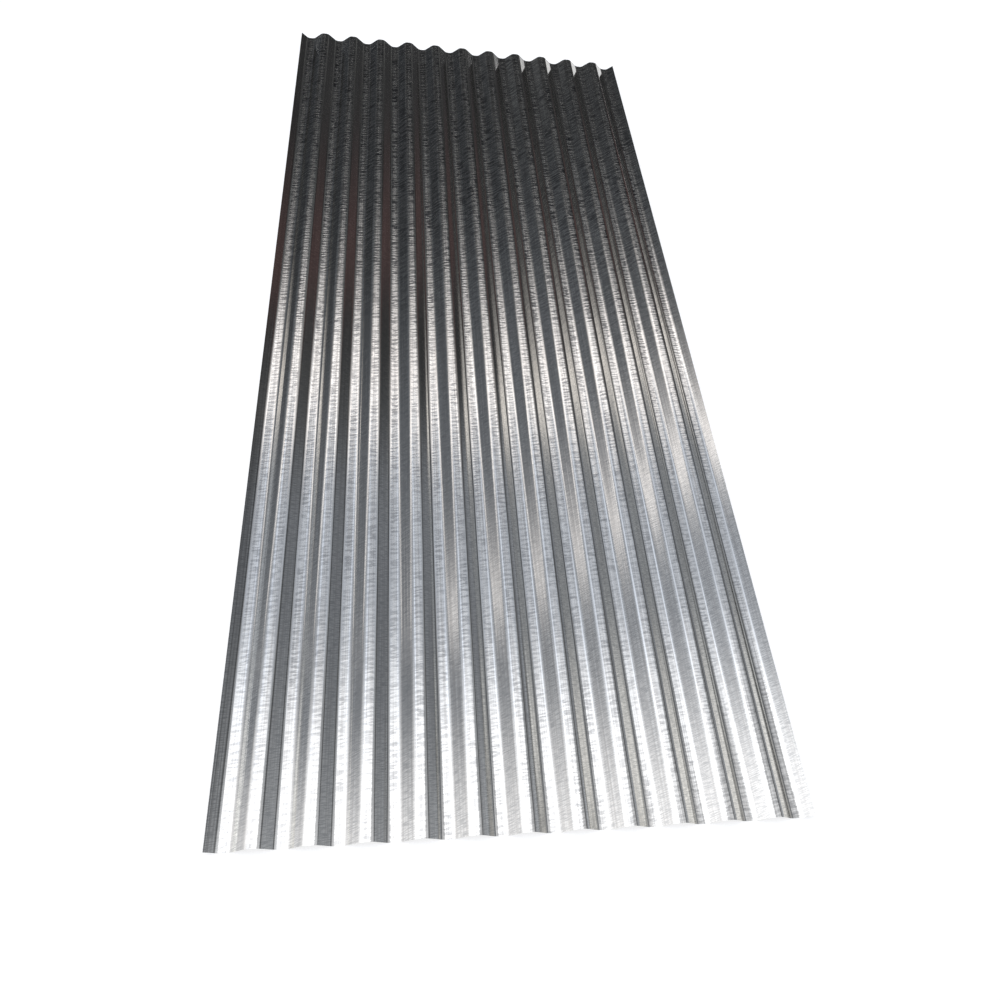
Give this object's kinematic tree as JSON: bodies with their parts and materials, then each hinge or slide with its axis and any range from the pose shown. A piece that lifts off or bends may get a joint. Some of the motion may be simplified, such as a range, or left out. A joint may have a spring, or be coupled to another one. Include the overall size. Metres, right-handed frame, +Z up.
{
  "type": "corrugated metal sheet",
  "caption": "Rectangular roofing and walling sheet of galvanised steel, rolled into even rounded waves that run along its length.",
  "frame": {"origin": "on the floor under the middle of the sheet, which lies on its valleys", "axes": "+Y along the waves, +X across them, +Z up out of the top face"},
  "size_m": [0.8854, 2.1, 0.017],
  "materials": {
    "galvanised_steel": "bright zinc coat, streaked across the waves by the forming rolls"
  },
  "bodies": {
    "root": {"corrugated_sheet": "galvanised_steel"}
  },
  "joints": []
}
